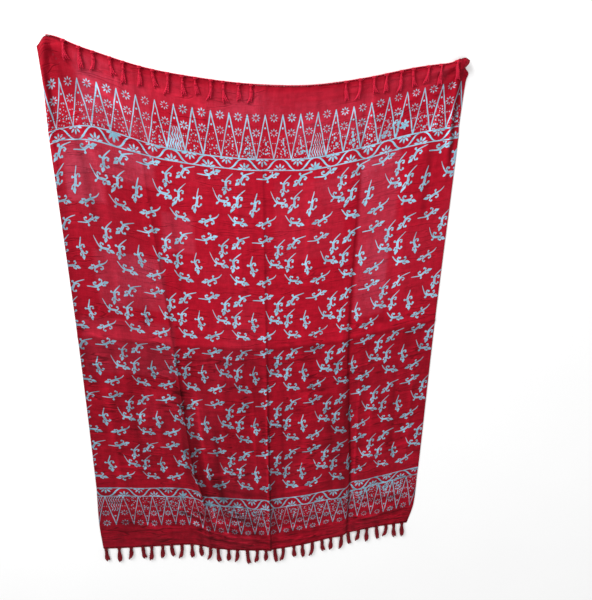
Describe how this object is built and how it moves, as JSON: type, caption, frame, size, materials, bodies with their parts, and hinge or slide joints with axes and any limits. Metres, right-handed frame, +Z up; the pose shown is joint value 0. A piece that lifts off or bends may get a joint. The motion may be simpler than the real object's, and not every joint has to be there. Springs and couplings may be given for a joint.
{
  "type": "sarong",
  "caption": "Rectangular printed rayon sarong with tasselled ends, lying flat with its upper corners drawn up and its pressed folds showing.",
  "frame": {"origin": "centre of the footprint, on the surface that the cloth lies on", "axes": "+X across the cloth to the right of the printed face, +Y along it to the end with the drawn-up corners, +Z up off the surface"},
  "size_m": [1.1071, 1.7051, 0.0215],
  "materials": {
    "printed_rayon": "thin crimson rayon with a light blue print, soft slightly sheer weave",
    "tassel_yarn": "twisted crimson rayon yarn"
  },
  "bodies": {
    "root": {"cloth_panel": "printed_rayon", "fringe_bottom": "tassel_yarn", "fringe_top": "tassel_yarn"}
  },
  "joints": []
}
